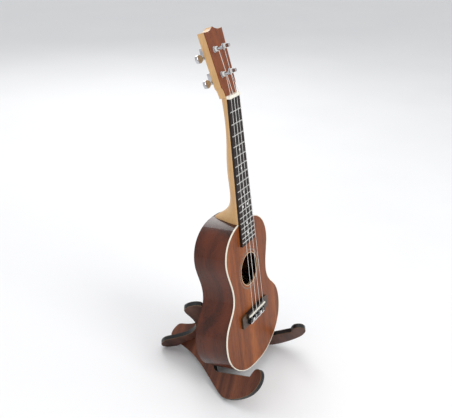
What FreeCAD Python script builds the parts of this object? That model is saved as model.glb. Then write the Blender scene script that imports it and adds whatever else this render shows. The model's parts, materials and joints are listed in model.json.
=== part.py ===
import FreeCAD, Part
import math
import os
from FreeCAD import Vector, Matrix

# ---- two-board X stand -------------------------------------------------------
BOARD_SPAN = 274.5          # longest reach of one board, rear foot to hook
BOARD_T = 9.0               # finished board thickness
VENEER_T = 0.5              # walnut face leaf
UNDERLAY_T = 0.4            # pale leaf below it, seen as a pinstripe
LEAF_STEP = 0.45            # each leaf stops this far inside the one below
LINE_SLOPE = 38.54          # fall of the crossing line, front to back, degrees
SLOT_GAP = 0.15             # half-lap play on each wall
SOLE_FLAT = 0.4             # feet dressed flat by this much
MODULE = BOARD_SPAN / 30.5  # the board outline is drawn in this unit
REST_EDGE_R = 1.8           # round where rest edge meets upright, in modules
CORE_T = BOARD_T - 2 * (VENEER_T + UNDERLAY_T)

# ---- concert ukulele ---------------------------------------------------------
BODY_LEN = 277.0
BODY_DEPTH = 62.0
LOWER_BOUT = 201.0
UPPER_BOUT = 149.0
WAIST = 122.0
PLATE_T = 2.0
SIDE_T = 2.0
BINDING_W = 1.6
LINING_W = 4.0
LINING_H = 6.0
BRACE_GAP = 0.1             # brace ends stop this short of the linings
SCALE_LEN = 380.0
JOINT_FRET = 14             # the body joins the neck at this fret
HEAD_LEN = 108.0
HEAD_ANGLE = 12.0
HEAD_T = 12.0
HEAD_VENEER_T = 1.6
NUT_W = 35.0
NUT_T = 5.0
BOARD_END_W = 46.0
FINGERBOARD_T = 4.5
FRETS = 18
FRET_R = 1.1
HOLE_R = 28.5
HOLE_FROM_NUT = 0.797 * SCALE_LEN
HOLE_LINE_W = 1.2           # pale line round the edge of the sound hole
ROSETTE_IN = 33.0
ROSETTE_OUT = 35.8
ROSETTE_DEPTH = 0.6
BRIDGE_W = 94.0
BRIDGE_L = 23.0
SADDLE_W = 58.0
TIE_W = 54.0
NUT_SPREAD = 28.0
SADDLE_SPREAD = 39.0
STRING_R = [0.32, 0.42, 0.36, 0.30]
STRING_REST = 0.45          # string centre line kept this much proud of nut and saddle

# ---- geared tuners -----------------------------------------------------------
POST_R = 3.0
RUN_GAP = 0.05              # running clearance of each turning shaft
BUSH_R = 4.0
BUSH_FLANGE_R = 5.2
POST_UP = 12.5              # post height over the headstock face
GEAR_R = 4.9
WORM_R = 2.2
MESH_GAP = 0.15
SHAFT_R = 1.5
WIND_R = 0.55
HOUSING_T = 8.4
POSTS = [(12.3, 34.0), (13.5, 74.0)]   # (across, up the headstock), each side
STRING_CLEAR = 0.15

# ---- how the two meet --------------------------------------------------------
SEAT_GAP = 0.30             # lower bout above the rest edges
BACK_GAP = 0.35             # back in front of the uprights

FRET_STEP = 2 ** (-1 / 12.0)
NUT_Y = BODY_LEN + SCALE_LEN * (1 - FRET_STEP ** JOINT_FRET)
FINGERBOARD_END = NUT_Y - SCALE_LEN * (1 - FRET_STEP ** FRETS) - 6.4
GEAR_N = -HEAD_T - HEAD_VENEER_T - 3.0
WORM_DROP = GEAR_R + WORM_R + MESH_GAP
parts = {}


def vec(x, y, z=0.0):
    return Vector(x, y, z)


def spline(points, end=None):
    """Smooth curve through the points, closed where no end direction is given."""
    curve = Part.BSplineCurve()
    if end is None:
        curve.interpolate(Points=points, PeriodicFlag=True)
        return curve.toShape()
    tangents = [Vector(0, 0, 0)] * (len(points) - 1) + [end]
    flags = [False] * (len(points) - 1) + [True]
    curve.interpolate(Points=points, Tangents=tangents, TangentFlags=flags, Scale=False)
    return curve.toShape()


def face_of(edges):
    return Part.Face(Part.Wire(Part.__sortEdges__(edges)))


def inward(face, step):
    """The face with its outline drawn in by a step, on plain spline edges."""
    return face.makeOffset2D(-step).toNurbs().Faces[0]


def slab(face, low, high):
    """Solid from a face drawn at z = 0, between two heights."""
    moved = face.copy()
    moved.translate(vec(0, 0, low))
    return moved.extrude(vec(0, 0, high - low))


def box(x0, x1, y0, y1, z0, z1):
    return Part.makeBox(x1 - x0, y1 - y0, z1 - z0, vec(x0, y0, z0))


def cyl(radius, base, tip):
    axis = tip - base
    return Part.makeCylinder(radius, axis.Length, base, axis)


def mirrored(shape):
    return shape.mirror(vec(0, 0), vec(1, 0))


def placed(shape, matrix):
    """Copy of a shape carried rigidly into another frame."""
    moved = shape.copy()
    moved.Placement = FreeCAD.Placement(matrix).multiply(moved.Placement)
    return moved


# ==== stand ===================================================================
REST = [(-14.5, 12.85), (-4.2, 8.88)]         # straight rest edge, notch to corner
UPRIGHT_TIP = (-12.2, -10.2)                  # end of the upright's straight edge
ROUND_SIDE = [
    (-15.3, 12.25), (-16.3, 11.9), (-17.2, 12.35), (-17.5, 13.5), (-16.6, 15.1),
    (-14.7, 16.15), (-12.5, 16.4), (-9.6, 16.05), (-7.2, 15.1), (-5.4, 13.1),
    (-3.2, 9.8), (-0.9, 6.5), (1.6, 3.6), (4.0, 1.4), (6.9, -0.85),
    (8.2, -2.0), (8.3, -3.0), (7.3, -4.0), (5.7, -4.45), (4.1, -4.0),
    (1.4, -3.15), (-1.5, -3.15), (-4.0, -4.4), (-6.0, -6.75), (-7.3, -9.5),
    (-8.2, -11.2), (-9.2, -12.0), (-10.4, -12.05), (-11.5, -11.6), (-12.1, -10.85),
]
SLOT_MID = -1.2 * MODULE


def board_outline():
    """Face with hook, belly, rear foot, hollow back and upright, and its cradle edges."""
    notch = vec(*REST[0]) * MODULE
    corner = vec(*REST[1]) * MODULE
    tip = vec(*UPRIGHT_TIP) * MODULE
    along_rest = (notch - corner).normalize()
    along_up = (tip - corner).normalize()
    half = along_rest.getAngle(along_up) / 2
    radius = REST_EDGE_R * MODULE
    reach = radius / math.tan(half)
    middle = (along_rest + along_up).normalize()
    crown = corner + middle * (radius / math.sin(half) - radius)
    start = corner + along_up * reach
    stop = corner + along_rest * reach
    rounded = [notch] + [vec(*p) * MODULE for p in ROUND_SIDE] + [tip]
    cradle = [
        Part.makeLine(tip, start),
        Part.Arc(start, crown, stop).toShape(),
        Part.makeLine(stop, notch),
    ]
    return face_of(cradle + [spline(rounded, along_up * -1)]), cradle


def board_frame(side):
    """Board plane in the row: x runs down the crossing line, y across it."""
    slope = math.radians(LINE_SLOPE)
    down = Vector(0, math.cos(slope), -math.sin(slope))
    mid = Vector(0, -math.sin(slope), -math.cos(slope))
    across = (mid + Vector(side, 0, 0)).normalize()
    out = down.cross(across)
    return Matrix(
        down.x, across.x, out.x, 0,
        down.y, across.y, out.y, 0,
        down.z, across.z, out.z, 0,
        0, 0, 0, 1)


outline, cradle = board_outline()
LEAVES = {step: inward(outline, step) for step in (LEAF_STEP, 2 * LEAF_STEP)}


def slotted(solid, opens_front, step=0.0):
    """Half-lap slot along the crossing line, as wide as the other board."""
    far = 40 * MODULE
    half = BOARD_T / 2 + SLOT_GAP + step
    if opens_front:
        x0, x1 = -far, SLOT_MID + SLOT_GAP + step
    else:
        x0, x1 = SLOT_MID - SLOT_GAP - step, far
    return solid.cut(box(x0, x1, -half, half, -BOARD_T, BOARD_T))


def make_board(name, side, opens_front):
    top = CORE_T / 2 + UNDERLAY_T
    core = slab(outline, -CORE_T / 2, CORE_T / 2)
    pieces = {"core": slotted(core, opens_front)}
    for word, sign in (("left", 1), ("right", -1)):
        levels = [sign * h for h in (CORE_T / 2, top, BOARD_T / 2)]
        for leaf, z0, z1 in (("underlay", *levels[:2]), ("veneer", *levels[1:])):
            step = LEAF_STEP if leaf == "underlay" else 2 * LEAF_STEP
            sheet = slab(LEAVES[step], min(z0, z1), max(z0, z1))
            pieces[leaf + "_" + word] = slotted(sheet, opens_front, step)
    frame = board_frame(side)
    for piece, shape in pieces.items():
        parts[name + "_" + piece] = placed(shape, frame)
    return frame


frame_a = make_board("board_a", -1, True)
frame_b = make_board("board_b", 1, False)
stand_names = list(parts)
lowest = min(parts[n].optimalBoundingBox(False).ZMin for n in stand_names)
floor = lowest + SOLE_FLAT
waste = box(-500, 500, -500, 500, floor - 50, floor)
for n in stand_names:
    parts[n] = parts[n].cut(waste)

# ==== ukulele, drawn lying on its back: y up the axis from the tail ===========
HALF_PROFILE = [             # (half width, distance from the tail)
    (0.17 * LOWER_BOUT, 0.012 * BODY_LEN), (0.36 * LOWER_BOUT, 0.080 * BODY_LEN),
    (0.47 * LOWER_BOUT, 0.175 * BODY_LEN), (0.50 * LOWER_BOUT, 0.265 * BODY_LEN),
    (0.455 * LOWER_BOUT, 0.395 * BODY_LEN), (0.52 * WAIST, 0.520 * BODY_LEN),
    (0.50 * WAIST, 0.588 * BODY_LEN), (0.455 * UPPER_BOUT, 0.690 * BODY_LEN),
    (0.50 * UPPER_BOUT, 0.801 * BODY_LEN), (0.445 * UPPER_BOUT, 0.900 * BODY_LEN),
    (0.30 * UPPER_BOUT, 0.968 * BODY_LEN), (0.13 * UPPER_BOUT, 0.996 * BODY_LEN),
]


def body_face(inset=0.0):
    right = [vec(*p) for p in HALF_PROFILE]
    left = [vec(-p.x, p.y) for p in reversed(right)]
    loop = [vec(0, 0)] + right + [vec(0, BODY_LEN)] + left
    face = face_of([spline(loop)])
    return inward(face, inset) if inset else face


def rim(outer_inset, inner_inset, low, high):
    ring = body_face(outer_inset).cut(body_face(inner_inset)).Faces[0]
    return slab(ring, low, high)


uke = {}
top_in = BODY_DEPTH - PLATE_T
hole_y = NUT_Y - HOLE_FROM_NUT
saddle_y = NUT_Y - SCALE_LEN - 1.5
uke["back_plate"] = slab(body_face(), 0, PLATE_T)
ribs = rim(0, SIDE_T, PLATE_T, top_in)
uke["side_left"] = ribs.common(box(-200, 0, -9, BODY_LEN + 9, 0, BODY_DEPTH))
uke["side_right"] = ribs.common(box(0, 200, -9, BODY_LEN + 9, 0, BODY_DEPTH))
uke["top_binding"] = rim(0, BINDING_W, top_in, BODY_DEPTH)
soundboard = slab(body_face(BINDING_W), top_in, BODY_DEPTH)
soundboard = soundboard.cut(cyl(HOLE_R, vec(0, hole_y, 0), vec(0, hole_y, 99)))


def inlay_ring(inside, outside):
    """Flat ring let into the soundboard, centred on the sound hole."""
    groove = BODY_DEPTH - ROSETTE_DEPTH
    ring = cyl(outside, vec(0, hole_y, groove), vec(0, hole_y, BODY_DEPTH))
    return ring.cut(cyl(inside, vec(0, hole_y, 0), vec(0, hole_y, 99)))


inlays = [inlay_ring(HOLE_R, HOLE_R + HOLE_LINE_W), inlay_ring(ROSETTE_IN, ROSETTE_OUT)]
uke["rosette"] = Part.makeCompound(inlays)
uke["soundboard"] = soundboard.cut(inlays)

inner = SIDE_T + LINING_W
uke["back_linings"] = rim(SIDE_T, inner, PLATE_T, PLATE_T + LINING_H)
uke["top_linings"] = rim(SIDE_T, inner, top_in - LINING_H, top_in)
well = slab(body_face(SIDE_T), PLATE_T + LINING_H, top_in - LINING_H)
uke["neck_block"] = well.common(
    box(-27, 27, BODY_LEN - 34, BODY_LEN, 0, BODY_DEPTH))
uke["tail_block"] = well.common(box(-30, 30, 0, 16, 0, BODY_DEPTH))
cavity = slab(body_face(inner + BRACE_GAP), PLATE_T, top_in)


def brace(y0, y1, low, high):
    return cavity.common(box(-200, 200, y0, y1, low, high))


uke["back_braces"] = Part.makeCompound([
    brace(f * BODY_LEN - 3, f * BODY_LEN + 3, PLATE_T, PLATE_T + 9)
    for f in (0.24, 0.50, 0.76)])
uke["top_braces"] = Part.makeCompound([
    brace(hole_y + s * (HOLE_R + 9) - 3, hole_y + s * (HOLE_R + 9) + 3,
          top_in - 9, top_in)
    for s in (-1, 1)])
uke["bridge_plate"] = box(
    -50, 50, saddle_y - 22, saddle_y + 8, top_in - PLATE_T, top_in)

# ---- neck with heel and headstock -------------------------------------------


def neck_width(y):
    return NUT_W + (BOARD_END_W - NUT_W) * (NUT_Y - y) / (NUT_Y - FINGERBOARD_END)


def neck_section(y, depth, fullness):
    half = neck_width(y) / 2
    z = BODY_DEPTH
    under = spline(
        [Vector(half, y, z), Vector(half * fullness, y, z - 0.6 * depth),
         Vector(0, y, z - depth), Vector(-half * fullness, y, z - 0.6 * depth),
         Vector(-half, y, z)], Vector(0, 0, 1))
    return Part.Wire([under, Part.makeLine(Vector(-half, y, z), Vector(half, y, z))])


shaft_rows = [
    (NUT_Y + NUT_T + 3, 16.5, 0.80), (NUT_Y, 16.5, 0.80), (NUT_Y - 90, 17.5, 0.80),
    (BODY_LEN + 52, 19.0, 0.80), (BODY_LEN + 30, 23.0, 0.78),
    (BODY_LEN + 17, 33.0, 0.72), (BODY_LEN + 9, 45.0, 0.64),
    (BODY_LEN + 3, 55.0, 0.58), (BODY_LEN - 6, 58.0, 0.56),
]
neck = Part.makeLoft([neck_section(*row) for row in shaft_rows], True, False)
neck = neck.cut(slab(body_face(), -5, BODY_DEPTH + 5))
tilt = math.radians(HEAD_ANGLE)
head_up = Vector(0, math.cos(tilt), -math.sin(tilt))
head_out = Vector(0, math.sin(tilt), math.cos(tilt))
head_base = Vector(0, NUT_Y + NUT_T, BODY_DEPTH)
head_frame = Matrix(
    1, 0, 0, head_base.x,
    0, head_up.y, head_out.y, head_base.y,
    0, head_up.z, head_out.z, head_base.z,
    0, 0, 0, 1)


def on_head(shape):
    return placed(shape, head_frame)


def head_face(foot):
    """Crown-topped headstock, drawn from the nut at y = foot."""
    half = NUT_W / 2
    right = [
        Part.makeLine(vec(0, foot), vec(half, foot)),
        Part.makeLine(vec(half, foot), vec(half, 2)),
        spline([vec(half, 2), vec(half + 1.1, 8.5), vec(22.5, 15)],
               vec(0.9, 0.45)),
        Part.makeLine(vec(22.5, 15), vec(27, HEAD_LEN - 5)),
        Part.Arc(vec(27, HEAD_LEN - 5), vec(13, HEAD_LEN - 5.2),
                 vec(0, HEAD_LEN)).toShape(),
    ]
    left = [mirrored(e) for e in right]
    return face_of(right + left)


head_back = -HEAD_T - HEAD_VENEER_T
blank = on_head(slab(head_face(-2), head_back, -HEAD_VENEER_T))
neck = neck.cut(on_head(box(-60, 60, 0, 60, -HEAD_VENEER_T, 30)))
neck = neck.fuse(blank).removeSplitter()
veneer = on_head(slab(head_face(0), -HEAD_VENEER_T, 0))

# ---- fingerboard, frets, dots, nut ------------------------------------------
top_z = BODY_DEPTH + FINGERBOARD_T
trapeze = Part.Face(Part.makePolygon([
    vec(-NUT_W / 2, NUT_Y), vec(NUT_W / 2, NUT_Y),
    vec(BOARD_END_W / 2, FINGERBOARD_END), vec(-BOARD_END_W / 2, FINGERBOARD_END),
    vec(-NUT_W / 2, NUT_Y)]))
fingerboard = slab(trapeze, BODY_DEPTH, top_z)


def fret_y(number):
    return NUT_Y - SCALE_LEN * (1 - FRET_STEP ** number)


frets = []
for number in range(1, FRETS + 1):
    y = fret_y(number)
    half = neck_width(y) / 2 - 0.2
    wire = cyl(FRET_R, Vector(-half, y, top_z), Vector(half, y, top_z))
    frets.append(wire.common(box(-50, 50, y - 5, y + 5, top_z, top_z + 5)))
uke["frets"] = Part.makeCompound(frets)

dots = []
for number in (5, 7, 10, 12, 15, 17):
    y = (fret_y(number) + fret_y(number - 1)) / 2
    places = (-8.0, 8.0) if number == 12 else (0.0,)
    for x in places:
        dots.append(cyl(2.2, Vector(x, y, top_z - 0.4), Vector(x, y, top_z)))
uke["fret_dots"] = Part.makeCompound(dots)
uke["fingerboard"] = fingerboard.cut(uke["fret_dots"])


def string_x(index, spread):
    return spread * (index - 1.5) / 3.0


nut_top = top_z + 2.0
nut = box(-NUT_W / 2, NUT_W / 2, NUT_Y, NUT_Y + NUT_T, BODY_DEPTH, nut_top)
back_edge = [e for e in nut.Edges
             if abs(e.CenterOfMass.z - nut_top) < 0.01
             and abs(e.CenterOfMass.y - NUT_Y - NUT_T) < 0.01]
nut = nut.makeFillet(2.2, back_edge)
for i in range(4):
    x = string_x(i, NUT_SPREAD)
    nut = nut.cut(box(x - 0.55, x + 0.55, NUT_Y - 1, NUT_Y + 9, nut_top - 0.9, 99))
uke["nut"] = nut

# ---- bridge ------------------------------------------------------------------
deck = BODY_DEPTH
wing_r = 4.0
base = box(-BRIDGE_W / 2, BRIDGE_W / 2, saddle_y - BRIDGE_L + 6, saddle_y + 6,
           deck, deck + 4.0)
uprights = [e for e in base.Edges
            if e.BoundBox.ZLength > 3.5 and e.BoundBox.YLength < 0.1]
base = base.makeFillet(wing_r, uprights)
saddle_block = box(-SADDLE_W / 2 - 2, SADDLE_W / 2 + 2, saddle_y - 4, saddle_y + 5,
                   deck + 4.0, deck + 7.0)
tie_y = saddle_y - BRIDGE_L + 7
tie_z = deck + 8.0
tie_block = box(-TIE_W / 2, TIE_W / 2, tie_y, tie_y + 8, deck + 4.0, tie_z)
bridge = base.fuse([saddle_block, tie_block]).removeSplitter()
saddle_top = deck + 9.5
saddle = box(-SADDLE_W / 2, SADDLE_W / 2, saddle_y - 1.25, saddle_y + 1.25,
             deck + 4.0, saddle_top)
crown = [e for e in saddle.Edges
         if abs(e.CenterOfMass.z - saddle_top) < 0.01 and e.BoundBox.XLength > 9]
saddle = saddle.makeFillet(1.0, crown)
line = box(-TIE_W / 2 + 1, TIE_W / 2 - 1, tie_y, tie_y + 1.2, tie_z - 0.8, tie_z)
hole_z = deck + 5.6
pearl_y = tie_y + 4.2
pearls = []
for sign in (-1, 1):
    x = sign * SADDLE_SPREAD / 3
    pearls.append(cyl(2.4, Vector(x, pearl_y, tie_z - 0.5), Vector(x, pearl_y, tie_z)))
uke["bridge_dots"] = Part.makeCompound(pearls)
uke["tie_block_line"] = line
uke["saddle"] = saddle
bridge = bridge.cut([saddle, line] + pearls)

# ---- strings -----------------------------------------------------------------


def cord(points, radius):
    shape = cyl(radius, points[0], points[1])
    for a, b in zip(points[1:-1], points[2:]):
        shape = shape.fuse([Part.makeSphere(radius, a), cyl(radius, a, b)])
    return shape.removeSplitter()


def head_point(x, up, out):
    return head_base + Vector(x, 0, 0) + head_up * up + head_out * out


wind_out = 5.0
for i in range(4):
    r = STRING_R[i]
    sign = -1 if i < 2 else 1
    post_x, post_up = POSTS[0] if i in (0, 3) else POSTS[1]
    xs = string_x(i, SADDLE_SPREAD)
    xn = string_x(i, NUT_SPREAD)
    nut_z = nut_top - 0.9 + r + STRING_REST
    inner_x = sign * (post_x - POST_R - WIND_R)
    away = STRING_CLEAR + WIND_R + r
    lap = tie_z + r + 0.05
    rear = tie_y - r - 0.05
    bridge = bridge.cut(cyl(r + 0.15, Vector(xs, tie_y - 1, hole_z),
                            Vector(xs, tie_y + 9, hole_z)))
    uke["string_%d" % (i + 1)] = cord([
        Vector(xs + 1.4, tie_y + 8 + r + 0.05, hole_z + 0.6),
        Vector(xs + 1.2, tie_y + 8 + r + 0.05, lap),
        Vector(xs + 0.2, rear, lap),
        Vector(xs, rear, hole_z),
        Vector(xs, tie_y + 8.6, hole_z),
        Vector(xs, saddle_y, saddle_top + r + STRING_REST),
        Vector(xn, NUT_Y + NUT_T / 2, nut_z),
        head_point(inner_x - sign * away, post_up, wind_out),
    ], r)
uke["bridge"] = bridge

# ---- tuners ------------------------------------------------------------------


def post_parts(x, up):
    """Post with its gear, and the string turns on it, in the head frame."""
    bottom = GEAR_N - 1.5
    post = cyl(POST_R, vec(x, up, bottom), vec(x, up, POST_UP))
    post = post.cut(cyl(0.9, vec(x - 9, up, wind_out + 2.6),
                        vec(x + 9, up, wind_out + 2.6)))
    gear = cyl(GEAR_R, vec(x, up, GEAR_N - 1.5), vec(x, up, GEAR_N + 1.5))
    rings = []
    for k in range(3):
        z = wind_out - 1.2 + 1.2 * k
        ring = Part.makeTorus(POST_R + WIND_R, WIND_R, vec(x, up, z), vec(0, 0, 1))
        collar = cyl(POST_R, vec(x, up, z - 2), vec(x, up, z + 2))
        rings.append(ring.cut(collar))
    return post.fuse(gear).removeSplitter(), Part.makeCompound(rings)


def housing(sign, x, up):
    """Closed gear case screwed to the back of the headstock."""
    top = head_back
    low = top - HOUSING_T
    inner_x = x - sign * 7.0
    outer_x = x + sign * 9.0
    x0, x1 = min(inner_x, outer_x), max(inner_x, outer_x)
    case = box(x0, x1, up - 11.5, up + 7.0, low, top)
    case = case.makeFillet(1.6, [
        e for e in case.Edges if e.CenterOfMass.z < top - 0.5])
    ear = cyl(3.6, vec(x, up + 9.5, top - 1.5), vec(x, up + 9.5, top))
    link = box(x - 3.6, x + 3.6, up + 5, up + 9.5, top - 1.5, top)
    case = case.fuse([ear, link]).removeSplitter()
    worm_y = up - WORM_DROP
    case = case.cut([
        cyl(GEAR_R + 0.4, vec(x, up, GEAR_N - 1.9), vec(x, up, top)),
        cyl(WORM_R + 0.4, vec(x - sign * 5.4, worm_y, GEAR_N),
            vec(x + sign * 6.4, worm_y, GEAR_N)),
        cyl(SHAFT_R + RUN_GAP, vec(x, worm_y, GEAR_N),
            vec(x + sign * 12, worm_y, GEAR_N)),
        cyl(1.1, vec(x, up + 9.5, low), vec(x, up + 9.5, top)),
    ])
    return case


def knob(sign, x, up):
    """Worm, shaft, collar and grip, turning about the shaft."""
    y = up - WORM_DROP
    at = [x + sign * d for d in (-5.0, 6.0, 15.5, 17.5, 30.0)]
    worm = cyl(WORM_R, vec(at[0], y, GEAR_N), vec(at[1], y, GEAR_N))
    shaft = cyl(SHAFT_R, vec(at[1], y, GEAR_N), vec(at[3], y, GEAR_N))
    collar = cyl(2.6, vec(x + sign * 9.4, y, GEAR_N), vec(x + sign * 11.0, y, GEAR_N))
    mid = (at[2] + at[4]) / 2
    outline = face_of([
        Part.makeLine(vec(at[2], y - 3.2), vec(at[2], y + 3.2)),
        Part.Arc(vec(at[2], y + 3.2), vec(mid, y + 6.6), vec(at[4], y + 5.2)).toShape(),
        Part.Arc(vec(at[4], y + 5.2), vec(at[4] + sign * 1.5, y),
                 vec(at[4], y - 5.2)).toShape(),
        Part.Arc(vec(at[4], y - 5.2), vec(mid, y - 6.6), vec(at[2], y - 3.2)).toShape(),
    ])
    grip = slab(outline, GEAR_N - 2.8, GEAR_N + 2.8)
    grip = grip.makeFillet(1.6, [
        e for e in grip.Edges if abs(abs(e.CenterOfMass.z - GEAR_N) - 2.8) < 0.01])
    return worm.fuse([shaft, collar, grip]).removeSplitter()


bushings = []
screws = []
bores = []
for i in range(4):
    sign = -1 if i < 2 else 1
    post_x, up = POSTS[0] if i in (0, 3) else POSTS[1]
    x = sign * post_x
    post, turns = post_parts(x, up)
    tag = "_%d" % (i + 1)
    uke["tuner_post" + tag] = on_head(post)
    uke["string_turns" + tag] = on_head(turns)
    uke["tuner_case" + tag] = on_head(housing(sign, x, up))
    uke["tuner_knob" + tag] = on_head(knob(sign, x, up))
    bush = cyl(BUSH_R, vec(x, up, head_back), vec(x, up, 0))
    flange = cyl(BUSH_FLANGE_R, vec(x, up, 0), vec(x, up, 2.0))
    flange = flange.makeChamfer(0.6, [
        e for e in flange.Edges if e.CenterOfMass.z > 1.9])
    bush = bush.fuse(flange).removeSplitter()
    bushings.append(bush.cut(
        cyl(POST_R + RUN_GAP, vec(x, up, head_back - 1), vec(x, up, 3))))
    sy = up + 9.5
    head = cyl(2.2, vec(x, sy, head_back - 3.1), vec(x, sy, head_back - 1.5))
    slot = box(x - 3, x + 3, sy - 0.3, sy + 0.3, head_back - 3.2, head_back - 2.6)
    shank = cyl(1.1, vec(x, sy, head_back - 1.5), vec(x, sy, head_back + 8))
    screws.append(head.cut(slot).fuse(shank).removeSplitter())
    bores.append(on_head(cyl(BUSH_R, vec(x, up, head_back - 1), vec(x, up, 2))))
    bores.append(on_head(cyl(1.1, vec(x, sy, head_back - 1), vec(x, sy, head_back + 8))))
uke["tuner_bushings"] = on_head(Part.makeCompound(bushings))
uke["tuner_screws"] = on_head(Part.makeCompound(screws))
uke["neck"] = neck.cut(bores)
uke["head_veneer"] = veneer.cut(bores)

# ==== seat the ukulele on the stand ===========================================


def on_board(frame, point):
    return frame.multVec(vec(*point) * MODULE)


low_end = on_board(frame_a, REST[1])
high_end = on_board(frame_a, UPRIGHT_TIP)
lean = math.atan2(high_end.y - low_end.y, high_end.z - low_end.z)
axis_dir = Vector(0, math.sin(lean), math.cos(lean))
face_dir = Vector(0, -math.cos(lean), math.sin(lean))
board_normal = Vector(frame_a.A13, frame_a.A23, frame_a.A33)
arris = abs(board_normal.dot(face_dir)) * CORE_T / 2
plane_at = high_end.dot(face_dir) + arris + BACK_GAP


def seat(shape, along):
    """Bench drawing to the row: stood up, leaned back, at a height on the axis."""
    base = face_dir * plane_at + axis_dir * along
    return placed(shape, Matrix(
        1, 0, 0, base.x,
        0, axis_dir.y, face_dir.y, base.y,
        0, axis_dir.z, face_dir.z, base.z,
        0, 0, 0, 1))


solid_body = slab(body_face(), 0, BODY_DEPTH)
rests = []
for edge in cradle:
    for half_t in (-CORE_T / 2, CORE_T / 2):
        arris_edge = edge.translated(vec(0, 0, half_t))
        rests += [placed(arris_edge, frame_a), placed(arris_edge, frame_b)]
rests = Part.makeCompound(rests)
low, high = floor - 20.0, floor + 12 * MODULE
while high - low > 0.005:
    middle = (low + high) / 2
    if seat(solid_body, middle).distToShape(rests)[0] > SEAT_GAP:
        high = middle
    else:
        low = middle
for name, shape in uke.items():
    parts[name] = seat(shape, high)

# ==== origin at the middle of the footprint, on the floor ====================
bounds = [s.optimalBoundingBox(False) for s in parts.values()]
mid_y = (min(b.YMin for b in bounds) + max(b.YMax for b in bounds)) / 2
shift = Vector(0, -mid_y, -floor)
os.makedirs("parts", exist_ok=True)
for name, shape in sorted(parts.items()):
    shape.translate(shift)
    shape.exportStep("parts/%s.step" % name)

print("nodes", len(parts), "lean", math.degrees(lean), "tail height", high)


def row_point(point):
    return face_dir * (plane_at + point.z) + axis_dir * (high + point.y) \
        + Vector(point.x, 0, 0) + shift


def row_dir(direction):
    return face_dir * direction.z + axis_dir * direction.y + Vector(direction.x, 0, 0)


for i in range(4):
    sign = -1 if i < 2 else 1
    post_x, up = POSTS[0] if i in (0, 3) else POSTS[1]
    print("knob", i + 1, row_point(head_point(sign * post_x, up - WORM_DROP, GEAR_N)),
          "post", row_point(head_point(sign * post_x, up, 0)))
print("post axis", row_dir(head_out), "slide axis", Vector(
    0, -math.cos(math.radians(LINE_SLOPE)), math.sin(math.radians(LINE_SLOPE))))
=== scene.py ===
import json
import math

import bpy
from mathutils import Matrix, Vector


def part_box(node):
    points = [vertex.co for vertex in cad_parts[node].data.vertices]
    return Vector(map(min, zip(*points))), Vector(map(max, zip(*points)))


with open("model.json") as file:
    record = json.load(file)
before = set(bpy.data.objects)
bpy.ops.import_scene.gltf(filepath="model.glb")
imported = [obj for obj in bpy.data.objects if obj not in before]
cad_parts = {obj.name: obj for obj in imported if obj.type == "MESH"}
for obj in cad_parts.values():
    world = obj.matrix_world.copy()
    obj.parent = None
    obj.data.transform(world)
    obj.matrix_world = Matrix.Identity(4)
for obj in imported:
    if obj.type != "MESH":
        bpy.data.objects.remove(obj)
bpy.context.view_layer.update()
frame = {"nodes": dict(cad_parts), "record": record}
nodes = frame["nodes"]

# ---- directions in the row frame, and sizes in metres ------------------------
SLOPE = math.radians(38.54)     # fall of the line where the two boards cross
LEAN = math.radians(7.87)       # lean of the instrument from upright
GRAIN_ALONG_LINE = 0.386        # the board grain's share along that line
GRAIN_ALONG_BOARD = 0.922       # and along the board at a right angle to it
LINE = Vector((0, math.cos(SLOPE), -math.sin(SLOPE)))
AXIS = Vector((0, math.sin(LEAN), math.cos(LEAN)))
FACE = Vector((0, -math.cos(LEAN), math.sin(LEAN)))
SIDE = Vector((1, 0, 0))


def board_axes(side):
    """Grain direction, across the grain and out of the face, for one board."""
    mid = Vector((side, -math.sin(SLOPE), -math.cos(SLOPE))).normalized()
    grain = (LINE * GRAIN_ALONG_LINE + mid * GRAIN_ALONG_BOARD).normalized()
    out = LINE.cross(mid).normalized()
    return grain, out.cross(grain), out


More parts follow.
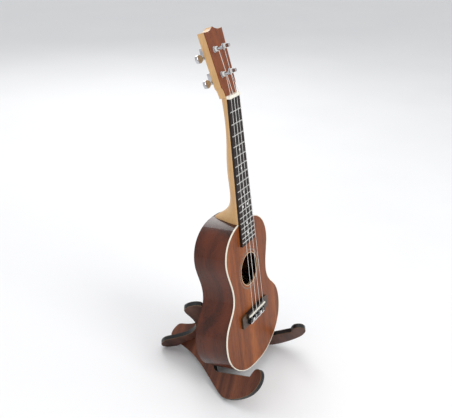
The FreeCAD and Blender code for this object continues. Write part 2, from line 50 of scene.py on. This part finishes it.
# ---- material building -------------------------------------------------------
class Mat:
    """A node material with helpers that take and return sockets."""

    def __init__(self, name):
        self.mat = bpy.data.materials.new(name)
        self.mat.use_nodes = True
        self.tree = self.mat.node_tree
        self.bsdf = self.tree.nodes["Principled BSDF"]
        coord = self.tree.nodes.new("ShaderNodeTexCoord")
        self.pos = coord.outputs["Object"]

    def put(self, socket, value):
        if isinstance(value, bpy.types.NodeSocket):
            self.tree.links.new(value, socket)
        else:
            socket.default_value = value

    def math(self, op, a, b=0.0):
        node = self.tree.nodes.new("ShaderNodeMath")
        node.operation = op
        self.put(node.inputs[0], a)
        self.put(node.inputs[1], b)
        return node.outputs[0]

    def dot(self, a, direction):
        node = self.tree.nodes.new("ShaderNodeVectorMath")
        node.operation = "DOT_PRODUCT"
        self.put(node.inputs[0], a)
        node.inputs[1].default_value = direction
        return node.outputs["Value"]

    def axes(self, directions, scales):
        """Position along three directions, each with its own scale."""
        join = self.tree.nodes.new("ShaderNodeCombineXYZ")
        for i in range(3):
            along = self.dot(self.pos, directions[i])
            self.put(join.inputs[i], self.math("MULTIPLY", along, scales[i]))
        return join.outputs[0]

    def noise(self, vector, scale, detail=4.0, rough=0.55, distort=0.0):
        node = self.tree.nodes.new("ShaderNodeTexNoise")
        self.put(node.inputs["Vector"], vector)
        node.inputs["Scale"].default_value = scale
        node.inputs["Detail"].default_value = detail
        node.inputs["Roughness"].default_value = rough
        node.inputs["Distortion"].default_value = distort
        return node.outputs["Fac"]

    def ramp(self, fac, stops):
        node = self.tree.nodes.new("ShaderNodeValToRGB")
        self.put(node.inputs[0], fac)
        ramp = node.color_ramp
        while len(ramp.elements) < len(stops):
            ramp.elements.new(0.5)
        for element, (at, color) in zip(ramp.elements, stops):
            element.position = at
            element.color = (*color, 1.0)
        return node.outputs["Color"]

    def span(self, value, a0, a1, b0, b1):
        node = self.tree.nodes.new("ShaderNodeMapRange")
        self.put(node.inputs[0], value)
        for i, limit in enumerate((a0, a1, b0, b1)):
            node.inputs[i + 1].default_value = limit
        return node.outputs[0]

    def mix(self, fac, a, b, blend="MIX"):
        node = self.tree.nodes.new("ShaderNodeMixRGB")
        node.blend_type = blend
        self.put(node.inputs[0], fac)
        self.put(node.inputs[1], a)
        self.put(node.inputs[2], b)
        return node.outputs[0]

    def bump(self, height, strength, distance=0.0004):
        node = self.tree.nodes.new("ShaderNodeBump")
        node.inputs["Strength"].default_value = strength
        node.inputs["Distance"].default_value = distance
        self.put(node.inputs["Height"], height)
        self.put(self.bsdf.inputs["Normal"], node.outputs[0])

    def soften(self, radius):
        """Shades sharp arrises as if rounded to this radius."""
        node = self.tree.nodes.new("ShaderNodeBevel")
        node.samples = 4
        node.inputs["Radius"].default_value = radius
        normal = self.bsdf.inputs["Normal"]
        if normal.is_linked:
            bump = normal.links[0].from_node
            self.tree.links.new(node.outputs[0], bump.inputs["Normal"])
        else:
            self.tree.links.new(node.outputs[0], normal)

    def finish(self, color, rough, coat=0.0, coat_rough=0.1, metal=0.0, spec=0.5):
        self.put(self.bsdf.inputs["Base Color"], color)
        self.put(self.bsdf.inputs["Roughness"], rough)
        self.bsdf.inputs["Metallic"].default_value = metal
        self.bsdf.inputs["Specular IOR Level"].default_value = spec
        self.bsdf.inputs["Coat Weight"].default_value = coat
        self.bsdf.inputs["Coat Roughness"].default_value = coat_rough
        return self.mat


def srgb(r, g, b):
    """Linear colour from 0 to 255 display values."""
    def lin(v):
        v /= 255.0
        return v / 12.92 if v <= 0.04045 else ((v + 0.055) / 1.055) ** 2.4
    return (lin(r), lin(g), lin(b))


# Noise scales per metre, along the grain and then across it.
BROAD_ALONG = 1.2           # its scales across are each wood's own streak value
FINE_GRAIN = (7.0, 420.0, 420.0)
PORE_GRAIN = (70.0, 1500.0, 1500.0)
WOOD_RELIEF = 0.00015


def wood(name, directions, dark, mid, light, pore, rough=0.42, coat=0.0,
         streak=38.0, pores=0.55, coat_rough=0.12, relief=0.25, spec=0.35, soft=0.0):
    """Straight-grained wood: broad streaks, fine lines and short dark pores."""
    m = Mat(name)
    broad = m.noise(m.axes(directions, (BROAD_ALONG, streak, streak)), 1.0, 3.0, 0.5, 0.35)
    fine = m.noise(m.axes(directions, FINE_GRAIN), 1.0, 5.0, 0.6)
    short = m.noise(m.axes(directions, PORE_GRAIN), 1.0, 2.0, 0.5)
    base = m.ramp(broad, [(0.30, dark), (0.48, mid), (0.68, light)])
    lines = m.span(fine, 0.35, 0.65, 0.0, 1.0)
    base = m.mix(m.math("MULTIPLY", lines, 0.35), base, (*light, 1.0))
    pits = m.span(short, 0.56, 0.66, 0.0, 1.0)
    base = m.mix(m.math("MULTIPLY", pits, pores), base, (*pore, 1.0))
    m.bump(m.math("SUBTRACT", fine, pits), relief, WOOD_RELIEF)
    if soft:
        m.soften(soft)
    shine = m.span(fine, 0.3, 0.7, rough - 0.06, rough + 0.08)
    return m.finish(base, shine, coat, coat_rough, spec=spec)


# ---- woods: grain directions, then dark, middle, light and pore colours -------
along_neck = (tuple(AXIS), tuple(SIDE), tuple(FACE))
across_body = (tuple(SIDE), tuple(AXIS), tuple(FACE))
axes_a = tuple(tuple(v) for v in board_axes(-1))
axes_b = tuple(tuple(v) for v in board_axes(1))

walnut_a = wood("walnut_a", axes_a, srgb(50, 24, 15), srgb(88, 46, 29),
                srgb(120, 68, 44), srgb(24, 11, 7), rough=0.48, streak=42.0, pores=0.7,
                spec=0.25)
walnut_b = wood("walnut_b", axes_b, srgb(40, 20, 15), srgb(72, 41, 31),
                srgb(102, 66, 53), srgb(18, 9, 6), rough=0.48, streak=42.0, pores=0.7,
                spec=0.25)
top_wood = wood("top_mahogany", along_neck, srgb(80, 33, 9), srgb(122, 60, 20),
                srgb(168, 94, 40), srgb(44, 18, 6), rough=0.42, streak=30.0,
                pores=0.65, coat=0.06, coat_rough=0.30, spec=0.2)
body_wood = wood("body_mahogany", along_neck, srgb(20, 7, 3), srgb(46, 17, 7),
                 srgb(92, 40, 18), srgb(11, 5, 3), rough=0.30, streak=24.0,
                 pores=0.4, coat=0.45, coat_rough=0.04, spec=0.15, soft=0.001)
head_wood = wood("head_mahogany", along_neck, srgb(80, 36, 16), srgb(112, 56, 28),
                 srgb(140, 76, 40), srgb(48, 20, 9), rough=0.38, streak=34.0,
                 pores=0.55, coat=0.12, coat_rough=0.25, spec=0.2)
neck_wood = wood("neck_wood", along_neck, srgb(186, 140, 88), srgb(206, 162, 108),
                 srgb(222, 184, 132), srgb(150, 104, 62), rough=0.42, streak=20.0,
                 pores=0.3, coat=0.2, coat_rough=0.3)
inner_wood = wood("inner_spruce", across_body, srgb(190, 156, 108),
                  srgb(214, 184, 138), srgb(230, 206, 164), srgb(168, 130, 84),
                  rough=0.7, streak=60.0, pores=0.2)
rosewood = wood("fingerboard_rosewood", along_neck, srgb(16, 11, 10),
                srgb(26, 18, 15), srgb(42, 28, 23), srgb(8, 6, 5), rough=0.44,
                streak=40.0, pores=0.6, spec=0.25)
underlay = wood("pale_underlay", axes_a, srgb(112, 88, 62), srgb(136, 110, 80),
                srgb(158, 132, 100), srgb(80, 60, 40), rough=0.6, pores=0.2)


# ---- even finishes and inlays ------------------------------------------------
def plain(name, low, high, scale, rough, coat=0.0, metal=0.0, relief=0.05, spec=0.5,
          soft=0.0):
    """A near-even finish with fine mottling in colour, gloss and surface."""
    m = Mat(name)
    cloud = m.noise(m.pos, scale, 4.0)
    grit = m.noise(m.pos, scale * 9, 2.0)
    color = m.ramp(cloud, [(0.3, low), (0.7, high)])
    m.bump(grit, relief, 0.0001)
    if soft:
        m.soften(soft)
    shine = m.span(cloud, 0.3, 0.7, rough * 0.85, rough * 1.2)
    return m.finish(color, shine, coat, 0.08, metal, spec)


board_edge = plain("board_edge", srgb(12, 11, 12), srgb(26, 25, 27), 90.0, 0.42,
                   relief=0.2, spec=0.4, soft=0.0007)
binding = plain("binding", srgb(222, 214, 194), srgb(240, 234, 218), 60.0, 0.25, 0.5)
bone = plain("bone", srgb(228, 222, 202), srgb(246, 242, 230), 240.0, 0.30, 0.3)
chrome = plain("chrome", (0.44, 0.44, 0.46), (0.64, 0.64, 0.66), 160.0, 0.13,
               metal=1.0, relief=0.02)
fret_wire = plain("fret_wire", (0.58, 0.57, 0.54), (0.78, 0.77, 0.74), 300.0, 0.2,
                  metal=1.0)
nylon = plain("nylon", srgb(214, 214, 210), srgb(240, 240, 236), 120.0, 0.28, 0.4)


def pearl_material():
    """Pale shell with a slight swirl of blue and pink."""
    m = Mat("pearl")
    swirl = m.noise(m.pos, 420.0, 3.0, 0.5, 1.5)
    color = m.ramp(swirl, [
        (0.30, srgb(206, 214, 220)), (0.50, srgb(242, 240, 236)),
        (0.70, srgb(222, 206, 214))])
    m.bump(swirl, 0.05, 0.0001)
    return m.finish(color, 0.18, 0.6, 0.05)


EDGE_BLUR = 0.0002          # softness of the line where two inlaid colours meet
BLOCK_PAST_SADDLE = 0.002   # the bridge's black middle runs this far past the saddle


def bridge_material():
    """Brown wings either side of a black middle that carries the saddle."""
    low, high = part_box("saddle")
    half = (high[0] - low[0]) / 2 + BLOCK_PAST_SADDLE
    m = Mat("bridge_wood")
    broad = m.noise(m.axes(across_body, (BROAD_ALONG, 46.0, 46.0)), 1.0, 3.0)
    fine = m.noise(m.axes(across_body, FINE_GRAIN), 1.0, 5.0, 0.6)
    wing = m.ramp(broad, [(0.35, srgb(42, 26, 14)), (0.65, srgb(84, 58, 34))])
    black = m.ramp(broad, [(0.35, srgb(10, 9, 9)), (0.65, srgb(24, 21, 20))])
    away = m.math("ABSOLUTE", m.dot(m.pos, tuple(SIDE)))
    outside = m.span(away, half - EDGE_BLUR, half + EDGE_BLUR, 0.0, 1.0)
    color = m.mix(outside, black, wing)
    m.bump(fine, 0.25, WOOD_RELIEF)
    return m.finish(color, m.span(fine, 0.3, 0.7, 0.34, 0.48), 0.1, 0.2, spec=0.4)


RING_HALF_W = 0.0014        # half the width of the rosette's chip ring
CHIPS_HALF_W = 0.0010       # half the width of the chips inside it
LINE_TO_RING = 0.0028       # everything this far inside the ring's middle is the line
CHIP_PAIRS = 64


def rosette_material():
    """Pale line at the hole's edge, and a ring of small dark and tan chips."""
    low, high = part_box("rosette")
    center = (Vector(low) + Vector(high)) / 2
    ring_mid = (high[0] - low[0]) / 2 - RING_HALF_W
    m = Mat("rosette")
    x = m.math("SUBTRACT", m.dot(m.pos, tuple(SIDE)), center.dot(SIDE))
    y = m.math("SUBTRACT", m.dot(m.pos, tuple(AXIS)), center.dot(AXIS))
    angle = m.math("ARCTAN2", y, x)
    radius = m.math("SQRT", m.math("ADD", m.math("MULTIPLY", x, x),
                                   m.math("MULTIPLY", y, y)))
    chips = m.math("SINE", m.math("MULTIPLY", angle, CHIP_PAIRS))
    chips = m.span(chips, -0.2, 0.2, 0.0, 1.0)
    band = m.math("ABSOLUTE", m.math("SUBTRACT", radius, ring_mid))
    inside = m.span(band, CHIPS_HALF_W - EDGE_BLUR, CHIPS_HALF_W, 1.0, 0.0)
    line_end = ring_mid - LINE_TO_RING
    inner_line = m.span(radius, line_end - EDGE_BLUR, line_end, 1.0, 0.0)
    dark = (*srgb(44, 24, 14), 1.0)
    tan = (*srgb(158, 112, 70), 1.0)
    edge = (*srgb(96, 56, 30), 1.0)
    pale = (*srgb(206, 176, 138), 1.0)
    grain = m.noise(m.pos, 700.0, 2.0)
    color = m.mix(chips, dark, tan)
    color = m.mix(inside, edge, color)
    color = m.mix(inner_line, color, pale)
    color = m.mix(m.math("MULTIPLY", grain, 0.18), color, (*srgb(120, 80, 50), 1.0))
    return m.finish(color, 0.35, 0.3)


# ---- one material to each of the record's slots ------------------------------
BY_SLOT = {
    "board_edge": board_edge, "underlay": underlay,
    "walnut_a": walnut_a, "walnut_b": walnut_b,
    "top_mahogany": top_wood, "body_mahogany": body_wood,
    "head_mahogany": head_wood, "binding": binding, "rosette": rosette_material(),
    "neck_wood": neck_wood, "inner_spruce": inner_wood, "fingerboard": rosewood,
    "bridge_wood": bridge_material(), "bone": bone, "pearl": pearl_material(),
    "fret_wire": fret_wire, "nylon": nylon, "chrome": chrome,
}
for part in frame["record"]["subparts"]:
    mesh = nodes[part["node"]].data
    mesh.materials.clear()
    mesh.materials.append(BY_SLOT[part["material_slot"]])

# ---- floor, light, camera ----------------------------------------------------
FLOOR_REACH = 40.0
FLOOR_DROP = 0.0002         # keeps the floor just clear of the feet
floor_mesh = bpy.data.meshes.new("studio_floor")
corners = [(x * FLOOR_REACH, y * FLOOR_REACH, 0) for x, y in ((-1, -1), (1, -1), (1, 1), (-1, 1))]
floor_mesh.from_pydata(corners, [], [(0, 1, 2, 3)])
floor = bpy.data.objects.new("studio_floor", floor_mesh)
floor.location.z = -FLOOR_DROP
bpy.context.scene.collection.objects.link(floor)
floor_mesh.materials.append(
    plain("studio_paper", (0.83, 0.83, 0.835), (0.85, 0.85, 0.85), 3.0, 0.75, relief=0.02))

world = bpy.data.worlds.new("studio")
world.use_nodes = True
sky = world.node_tree.nodes["Background"]
sky.inputs["Color"].default_value = (0.97, 0.98, 1.0, 1.0)
sky.inputs["Strength"].default_value = 0.74
bpy.context.scene.world = world
bpy.context.scene.view_settings.view_transform = "Standard"

LAMP_TARGET = Vector((0.0, 0.0, 0.30))


def area_light(name, place, size, power):
    """Rectangular lamp turned towards the instrument; power in watts."""
    data = bpy.data.lights.new(name, "AREA")
    data.shape = "RECTANGLE"
    data.size, data.size_y = size
    data.energy = power
    lamp = bpy.data.objects.new(name, data)
    lamp.location = place
    lamp.rotation_euler = (LAMP_TARGET - Vector(place)).to_track_quat("-Z", "Y").to_euler()
    bpy.context.scene.collection.objects.link(lamp)


area_light("key", (-0.5, -1.9, 1.7), (1.0, 1.0), 22.0)
area_light("fill", (-2.2, 0.3, 1.2), (1.4, 1.4), 6.0)
area_light("rim", (1.4, 1.3, 1.6), (1.0, 1.4), 14.0)
area_light("top", (0.0, 0.0, 2.4), (1.6, 1.6), 8.0)

AZIMUTH = math.radians(-61.6)
ELEVATION = math.radians(24.6)
ROLL = math.radians(1.1)
LENS = 57.9
DISTANCE = 1.24
CAMERA_TARGET = Vector((0.0, 0.0, 0.315))
toward = Vector((
    math.sin(AZIMUTH) * math.cos(ELEVATION),
    -math.cos(AZIMUTH) * math.cos(ELEVATION),
    math.sin(ELEVATION)))
camera_data = bpy.data.cameras.new("photo_camera")
camera_data.lens = LENS
camera = bpy.data.objects.new("photo_camera", camera_data)
look = (-toward).to_track_quat("-Z", "Y").to_matrix().to_4x4()
camera.matrix_world = (
    Matrix.Translation(CAMERA_TARGET + toward * DISTANCE)
    @ look @ Matrix.Rotation(ROLL, 4, "Z"))
bpy.context.scene.collection.objects.link(camera)
bpy.context.scene.camera = camera
